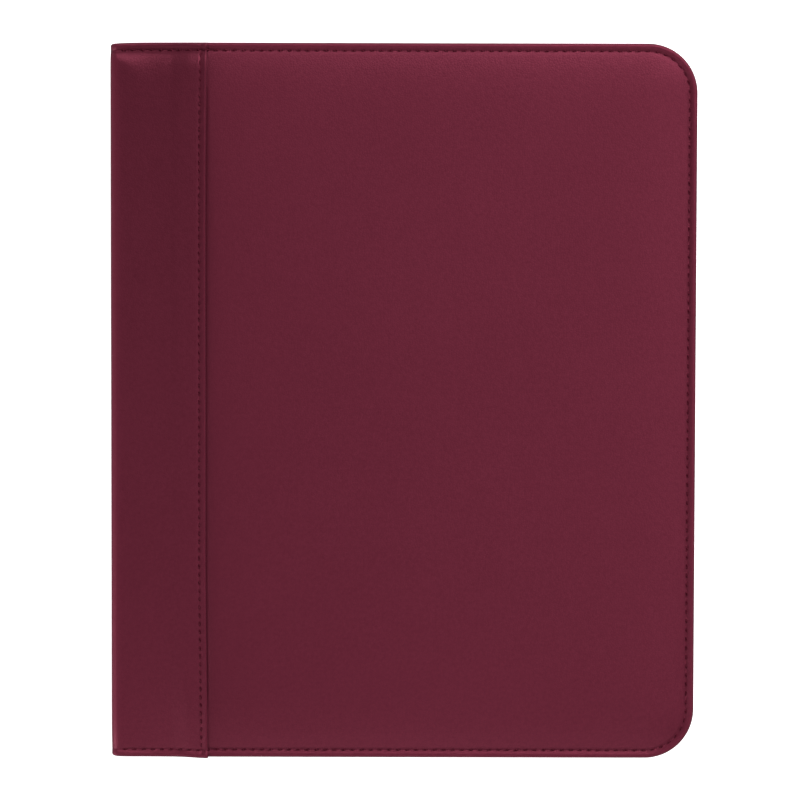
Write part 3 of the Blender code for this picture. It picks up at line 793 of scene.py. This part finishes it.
def sew(name, face, places, body, nodes=()):
    """A row of stitches over a face, at (x, y, height, heading, slope) places."""
    template = stitch()
    joined = bmesh.new()
    for x, y, height, heading, slope in places:
        turn = Euler((0, -slope, heading)).to_matrix().to_4x4()
        one = template.data.copy()
        one.transform(Matrix.Translation((x, y, height)) @ turn)
        joined.from_mesh(one)
        bpy.data.meshes.remove(one)
    bpy.data.objects.remove(template)
    row = bpy.data.objects.new(name, bpy.data.meshes.new(name))
    bpy.context.scene.collection.objects.link(row)
    joined.to_mesh(row.data)
    joined.free()
    z, out = FACES[face]
    for vert in row.data.vertices:
        vert.co.z = z + out * vert.co.z
    if out < 0:
        row.data.flip_normals()
    dress(row, THREAD)
    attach(row, body)
    if nodes:
        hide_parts(*nodes)


def cover_height(x, y):
    inset = edge_distance(np.array(x), np.array(y))
    return float(strip_height(x, y, inset) if x < LIP_X else panel_height(x, y, inset))


def on_edge_row(way):
    """The place and heading this far along the edge stitching."""
    high_start = STITCH_RUN + STITCH_TURN + 2 * CORNER_Y
    if way < STITCH_RUN:
        return SPINE_X + way, -CORNER_Y - STITCH_RADIUS, 0.0
    if way < STITCH_RUN + STITCH_TURN:
        angle = (way - STITCH_RUN) / STITCH_RADIUS
        return CORNER_X + STITCH_RADIUS * math.sin(angle), -CORNER_Y - STITCH_RADIUS * math.cos(angle), angle
    if way < high_start:
        return CORNER_X + STITCH_RADIUS, -CORNER_Y + way - STITCH_RUN - STITCH_TURN, math.pi / 2
    if way < high_start + STITCH_TURN:
        angle = (way - high_start) / STITCH_RADIUS
        x, y = CORNER_X + STITCH_RADIUS * math.cos(angle), CORNER_Y + STITCH_RADIUS * math.sin(angle)
        return x, y, math.pi / 2 + angle
    return CORNER_X - (way - high_start - STITCH_TURN), CORNER_Y + STITCH_RADIUS, math.pi


def edge_places():
    """The stitches round the top, free and bottom edges, the first and last a little in from the fold."""
    places = []
    for number in range(1, STITCH_COUNT - 1):
        x, y, *rest = placed(*on_edge_row((number + 0.5) * STITCH_WAY / STITCH_COUNT), cover_height)
        places.append((x, float(drawn_in(x, y)) if x < LIP_X else y, *rest))
    return places


def seam_places():
    """The stitches along the strip's lip."""
    reach = TOP_Y - STITCH_INSET - EDGE_PITCH / 2
    places = [placed(SEAM_X, y, math.pi / 2, cover_height) for y in spread(-reach, reach, SEAM_PITCH)]
    return [(x + float(bow(y)), y, *rest) for x, y, *rest in places]


def placed(x, y, heading, height):
    """A stitch on the leather, sloping with it and set a little askew, as a machine leaves it."""
    step = STITCH_LENGTH / 2
    ahead = height(x + step * math.cos(heading), y + step * math.sin(heading))
    behind = height(x - step * math.cos(heading), y - step * math.sin(heading))
    slope = math.atan2(ahead - behind, 2 * step)
    return x, y, (ahead + behind) / 2 + STITCH_HEIGHT * STITCH_LIFT, heading + STITCH_SKEW, slope


def covers():
    panel_leather("front_panel_leather", "front_outside", "front_cover", "front_skin")
    panel_leather("back_panel_leather", "back_outside", "back_cover", "back_skin")
    front_strip = ("front_spine_strip", "spine_strip")
    strip_leather("front_strip_leather", "front_outside", front_strip)
    strip_leather("back_strip_leather", "back_outside", ("back_spine_strip",))
    edge_row = edge_places()
    seam_row = seam_places()
    for side in ("front", "back"):
        sew(side + "_edge_stitches", side + "_outside", edge_row, side + "_cover", (side + "_edge_thread",))
        sew(side + "_seam_stitches", side + "_outside", seam_row, side + "_cover", (side + "_seam_thread",))


def lining_height(x, y, inset):
    """The lining lies flat on its board, a little sunk along its glued edge."""
    settled = np.clip((inset - LINING_INSET) / 0.012, 0, 1)
    return (0.6 * waves(x, y) - 0.00005) * settled - 0.00006


def linings():
    """The lining cloth glued into each cover."""
    rings = cover_rings(LINING_PLY, (), LINING_INSET)
    columns = spread(LINING_X + 0.0004, CORNER_X, PANEL_STEP)[:-1]
    for side in ("front", "back"):
        name = side + "_lining_cloth"
        lining = cover_panel(name, side + "_inside", rings, columns, lining_height, -LINING_PLY)
        dress(lining, FINISHES["lining"])
        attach(lining, side + "_cover")
        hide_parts(side + "_lining")


def gutter(name, face, nodes):
    """The lining across a fold. It is tucked up between the boards when closed."""
    axis = np.array((FOLD_X, FOLD_Z))
    on_spine = np.array((SPINE_LINING_X, MIDDLE_Z))
    spine_edge = np.array((SPINE_LINING_X, LINING_Z - 0.0003))
    cover_edge = np.array((SPINE_LINING_X + 0.0024, LINING_Z + 0.00015))
    on_cover = np.array((LINING_X + 0.0012, LINING_Z - 0.00003))

    def turned(point, share):
        """A point turned about the fold by a share of its quarter turn."""
        angle = math.radians(90 * share)
        x, z = point - axis
        return axis + (x * math.cos(angle) - z * math.sin(angle), x * math.sin(angle) + z * math.cos(angle))

    opened = turned(cover_edge, 1)
    reach = sum(cover_edge - spine_edge)
    path = [on_spine + (spine_edge - on_spine) * share for share in np.linspace(0, 1, 6)[:-1]]
    for share in np.linspace(0, 1, 25):
        start = turned(spine_edge, -eased(share))
        step = turned(opened, -eased(share)) - start
        path.append(start + step * (sum(spine_edge - start) + reach * share) / sum(step))
    path += [cover_edge + (on_cover - cover_edge) * share for share in np.linspace(0, 1, 5)[1:]]
    path = np.array(path)
    ends = rolled_edge(LINING_PLY, (), (0.001, 0.004))
    y_rows, depth = places_across(LINING_INSET - TOP_Y, TOP_Y - LINING_INSET, ends, ends, 0.004)
    tangent = np.gradient(path, axis=0)
    normal = np.stack([-tangent[:, 1], tangent[:, 0]], axis=-1)
    normal /= np.linalg.norm(normal, axis=-1, keepdims=True)
    points = np.zeros((len(path), len(y_rows), 3))
    points[..., 0] = path[:, :1] + normal[:, :1] * depth
    points[..., 1] = y_rows
    points[..., 2] = path[:, 1:] + normal[:, 1:] * depth
    low = (spine_edge[0], 0, spine_edge[1])
    high = (spine_edge[0] + reach / 2, 0, spine_edge[1] + reach / 2)
    if face == "back_inside":
        points[..., 2] = TOP_Z - points[..., 2]
        low, high = ((px, py, TOP_Z - pz) for px, py, pz in (high, low))
    band, _, _ = laid_sheet(name, points, flip=face == "front_inside")
    dress(band, FINISHES["lining"])
    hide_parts(*nodes)
    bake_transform(band)


STITCHED = tuple(np.arange(0.0007, 0.0040, 0.0003)) + (0.0045, 0.0055, 0.007)
MOUTH_ROWS = tuple(np.arange(0.0012, 0.0050, 0.0004)) + (0.006, 0.008)


def inner_height(full, mouth_y):
    """A sewn-down panel: pressed along its stitching and along the fold of its mouth."""
    def height(x, y, inset):
        pressed = POCKET_PRESS * hump(inset - POCKET_STITCH, 0.0006)
        line = MOUTH_PRESS * hump(mouth_y - y - MOUTH_STITCH, 0.0005)
        settled = np.clip(inset / WAVES_FROM_EDGE, 0, 1)
        return full - pressed - line + waves(x * 2, y * 2) * 0.5 * settled - 0.00012
    return height


def stitched_lines(lines, height):
    """Stitches along straight lines on a panel, each from its start to its end."""
    places = []
    for start, end in lines:
        run, rise = end[0] - start[0], end[1] - start[1]
        heading = math.atan2(rise, run)
        count = max(1, round(math.hypot(run, rise) / SEAM_PITCH))
        for number in range(count):
            share = (number + 0.5) / count
            places.append(placed(start[0] + run * share, start[1] + rise * share, heading, height))
    return places


def sewn_pocket(name, side, node, others=(), visible_from=None, thickness=0.0011):
    """A flat pocket: sewn down at its sides and foot, its mouth folded over and stitched."""
    low, high = span_of(node, *others)
    face = side + "_inside"
    z, out = FACES[face]
    panel_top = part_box(node)[1].z if out > 0 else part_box(node)[0].z
    full = abs(panel_top - z)
    height = inner_height(full, high.y)
    edge = sewn_edge(full, STITCHED)
    length = high.y - low.y
    under = tuple(length - foot for foot in (0.001, 0.02, 0.045) if length - foot > 0.02)
    mouth = rolled_edge(thickness, under + (0.012, 0.004, 0.001), MOUTH_ROWS)
    panel = square_panel(name, face, (low.x, high.x), (low.y, high.y), height, (edge, edge, edge, mouth))
    dress(panel, PLAIN_LEATHER)
    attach(panel, side + "_cover")
    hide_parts(node, *others)

    def over(x, y):
        inset = min(x - low.x, high.x - x, y - low.y)
        return float(height(np.array(x), np.array(y), np.array(inset)))

    foot = low.y + POCKET_STITCH if visible_from is None else visible_from
    left = low.x + POCKET_STITCH
    right = high.x - POCKET_STITCH
    top = high.y - MOUTH_STITCH
    lines = [((left, foot), (left, top)), ((right, top), (right, foot))]
    lines.append(((left + 0.003, top), (right - 0.003, top)))
    if visible_from is None:
        lines.append(((left + 0.002, foot), (right - 0.002, foot)))
    sew(name + "_stitches", face, stitched_lines(lines, over), side + "_cover")


def span_of(*nodes):
    """The lowest and highest corners of several nodes together."""
    boxes = [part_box(node) for node in nodes]
    low = Vector([min(box[0][axis] for box in boxes) for axis in range(3)])
    high = Vector([max(box[1][axis] for box in boxes) for axis in range(3)])
    return low, high


def pockets():
    for pocket, side in (("pad_pocket", "back"), ("papers_pocket", "front")):
        hems = tuple(pocket + "_hem_" + edge for edge in ("left", "right", "foot"))
        sewn_pocket(pocket + "_leather", side, pocket, hems)
    slots = ["card_slot_1", "card_slot_2", "card_slot_3"]
    for slot, next_slot in zip(slots, slots[1:] + [None]):
        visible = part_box(next_slot)[1].y + 0.002 if next_slot else None
        sewn_pocket(slot + "_leather", "front", slot, visible_from=visible, thickness=0.0006)


def window():
    """The clear film window, sewn to the lining on three sides, with a slight bulge between its stitches."""
    low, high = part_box("id_window")
    full = LINING_Z - low.z

    def height(x, y, inset):
        pressed = WINDOW_PRESS * hump(inset - WINDOW_STITCH, 0.0007)
        return full - pressed - 0.00005 + waves(x * 3, y * 2) * 0.6 * np.clip(inset / 0.01, 0, 1) - 0.0001

    edge = sewn_edge(full * 0.9, STITCHED)
    edges = (edge, edge, edge, rolled_edge(0.0003, (0.055, 0.03, 0.01), (0.0008, 0.002, 0.004)))
    film = square_panel("id_window_film", "front_inside", (low.x, high.x), (low.y, high.y), height, edges)
    dress(film, FINISHES["film"])
    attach(film, "front_cover")
    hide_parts("id_window")

    def over(x, y):
        return float(height(np.array(x), np.array(y), np.array(WINDOW_STITCH)))

    left, right, foot = low.x + WINDOW_STITCH, high.x - WINDOW_STITCH, low.y + WINDOW_STITCH
    top = high.y - 0.001
    lines = [((left, top), (left, foot)), ((left + 0.003, foot), (right - 0.003, foot))]
    lines.append(((right, foot), (right, top)))
    sew("id_window_stitches", "front_inside", stitched_lines(lines, over), "front_cover")


def elastic_loop():
    """The pen loop: a band of ribbed elastic, its edges slightly scalloped."""
    low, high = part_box("pen_loop")
    centre = (low + high) / 2
    radius = (high.x - low.x) / 2
    length = high.y - low.y
    wall = 0.0008
    corner = wall / 2
    outer = [(radius, y) for y in spread(corner - length / 2, length / 2 - corner, 0.0012)]
    inner = [(radius - wall, y) for _, y in reversed(outer)]
    cap = [math.radians(angle) for angle in (20, 45, 70, 90, 110, 135, 160)]
    far = [(radius - corner + corner * math.cos(a), length / 2 - corner + corner * math.sin(a)) for a in cap]
    near = [(radius - corner - corner * math.cos(a), corner - length / 2 - corner * math.sin(a)) for a in cap]
    section = outer + far + inner + near + outer[:1]
    turns = np.radians(np.linspace(90, 450, 73))
    points = np.zeros((len(turns), len(section), 3))
    for row, turn in enumerate(turns):
        for column, (out, y) in enumerate(section):
            scallop = 0.00005 * math.sin(turn * 36) if abs(y) > length / 2 - 0.001 else 0
            points[row, column] = (out * math.cos(turn), y + scallop, out * math.sin(turn))
    points += np.array(centre)
    loop, _, _ = laid_sheet("pen_loop_elastic", points)
    seal(loop)
    dress(loop, FINISHES["elastic"])
    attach(loop, "front_cover")
    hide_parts("pen_loop")


def seal(piece):
    """Closes a surface that comes round to meet itself, and turns its faces outwards."""
    deselect()
    piece.select_set(True)
    bpy.context.view_layer.objects.active = piece
    bpy.ops.object.mode_set(mode="EDIT")
    bpy.ops.mesh.select_all(action="SELECT")
    bpy.ops.mesh.remove_doubles(threshold=0.000002)
    bpy.ops.mesh.normals_make_consistent(inside=False)
    bpy.ops.object.mode_set(mode="OBJECT")


def pad_binding():
    """The cloth tape over the pad's upper edge: along the top sheet, over the edge and down the end."""
    low, high = span_of("pad_tape", "pad_tape_end")
    thick = high.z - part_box("pad_tape")[0].z
    radius = 0.0009
    path = [(low.y + 0.0001, high.z - thick), (low.y, high.z - thick * 0.6)]
    path += [(low.y + 0.00015, high.z - thick * 0.15), (low.y + 0.0004, high.z)]
    path += [(y, high.z) for y in spread(low.y + 0.0012, high.y - radius, 0.0012)]
    for angle in (15, 30, 45, 60, 75, 90):
        turn = math.radians(angle)
        path.append((high.y - radius + radius * math.sin(turn), high.z - radius + radius * math.cos(turn)))
    path += [(high.y, z) for z in spread(high.z - radius, low.z, 0.0012)[1:]]
    path = np.array(path)
    tangent = np.gradient(path, axis=0)
    inward = np.stack([tangent[:, 1], -tangent[:, 0]], axis=-1)
    inward /= np.linalg.norm(inward, axis=-1, keepdims=True)
    ends = rolled_edge(thick * 0.9, (), (0.001, 0.002))
    x_rows, depth = places_across(low.x, high.x, ends, ends, 0.004)
    points = np.zeros((len(x_rows), len(path), 3))
    points[..., 0] = x_rows[:, None]
    points[..., 1] = path[:, 0] + inward[:, 0] * depth[:, None]
    points[..., 2] = path[:, 1] + inward[:, 1] * depth[:, None]
    tape, _, _ = laid_sheet("pad_binding_tape", points)
    dress(tape, FINISHES["tape"])
    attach(tape, "pad")
    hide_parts("pad_tape", "pad_tape_end")


def foams():
    """The foam under each skin: a slab whose edges thin out under the sewn margins."""
    for side in ("front", "back"):
        for node, skin_height in ((side + "_foam", panel_height), (side + "_strip_foam", strip_height)):
            low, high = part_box(node)
            z, out = FACES[side + "_outside"]
            foot, full = sorted(((low.z - z) * out, (high.z - z) * out))

            def height(x, y, inset):
                return np.minimum(full, skin_height(x, y, edge_distance(x, y)) - SKIN_PLY)

            thick = full - foot
            edge = rolled_edge(thick, (0.012, 0.004), (0.0015, 0.003, 0.006, 0.010))
            spans = (low.x, high.x), (low.y, high.y)
            slab = square_panel(node + "_slab", side + "_outside", *spans, height, (edge,) * 4, foot=foot)
            dress(slab, FINISHES["foam"])
            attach(slab, side + "_cover")
            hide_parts(node)


def model_finishes():
    """A finish for each of the model's own pieces, from its slot in the record."""
    slots = {entry["node"]: entry["material_slot"] for entry in frame["record"]["subparts"]}
    for name, node in NODES.items():
        node.data.materials.clear()
        node.data.materials.append(FINISHES[slots[name]])


def floor():
    """A plain white floor. The leather doesn't mirror it, as that would leave a pale line at its edges."""
    deselect()
    bpy.ops.mesh.primitive_plane_add(size=6, location=(0, 0, 0))
    ground = bpy.context.object
    ground.name = "floor"
    white = Finish("plain white floor", base_color=colour(0.9, 0.9, 0.9), roughness=0.9)
    white.set("Emission Color", colour(1, 1, 1))
    white.set("Emission Strength", FLOOR_GLOW)
    ground.data.materials.append(white.material)
    ground.visible_glossy = False


def softbox(name, place, size, power):
    """A rectangular light that faces the part."""
    light = bpy.data.lights.new(name, "AREA")
    light.shape = "RECTANGLE"
    light.size, light.size_y = size
    light.energy = power
    lamp = bpy.data.objects.new(name, light)
    lamp.location = place
    lamp.rotation_euler = (-Vector(place)).to_track_quat("-Z", "Y").to_euler()
    bpy.context.scene.collection.objects.link(lamp)


def studio():
    """A pale room, brighter towards its walls, with a softbox on each side."""
    world = bpy.data.worlds.new("studio")
    bpy.context.scene.world = world
    world.use_nodes = True
    tree = world.node_tree
    direction = tree.nodes.new("ShaderNodeTexCoord")
    height = tree.nodes.new("ShaderNodeSeparateXYZ")
    walls = tree.nodes.new("ShaderNodeMapRange")
    walls.interpolation_type = "SMOOTHSTEP"
    fade = {"From Min": 0.0, "From Max": 0.75, "To Min": WALL_LIGHT, "To Max": CEILING_LIGHT}
    for socket, value in fade.items():
        walls.inputs[socket].default_value = value
    tree.links.new(direction.outputs["Generated"], height.inputs[0])
    tree.links.new(height.outputs["Z"], walls.inputs["Value"])
    tree.links.new(walls.outputs[0], tree.nodes["Background"].inputs["Strength"])
    for name, (place, size, power) in SOFTBOXES.items():
        softbox(name, place, size, power)
    bpy.context.scene.view_settings.view_transform = "Standard"


def camera():
    """The photo's camera: nearly straight above, a little beyond the upper edge."""
    target = Vector((*CAMERA_AIM, TOP_Z - 0.003))
    data = bpy.data.cameras.new("photo camera")
    data.sensor_width = SENSOR
    data.lens = SENSOR * CAMERA_DISTANCE / (PHOTO_PIXELS * MM_PER_PIXEL / 1000)
    data.clip_start = 0.05
    made = bpy.data.objects.new("photo camera", data)
    made.location = target + CAMERA_DISTANCE * Vector((0, math.sin(CAMERA_TILT), math.cos(CAMERA_TILT)))
    made.rotation_euler = (-CAMERA_TILT, 0, CAMERA_ROLL)
    bpy.context.scene.collection.objects.link(made)
    bpy.context.scene.camera = made


camera()
studio()
floor()
model_finishes()
covers()
linings()
gutter("front_gutter_cloth", "front_inside", ("spine_lining",))
gutter("back_gutter_cloth", "back_inside", ())
pockets()
window()
elastic_loop()
pad_binding()
foams()
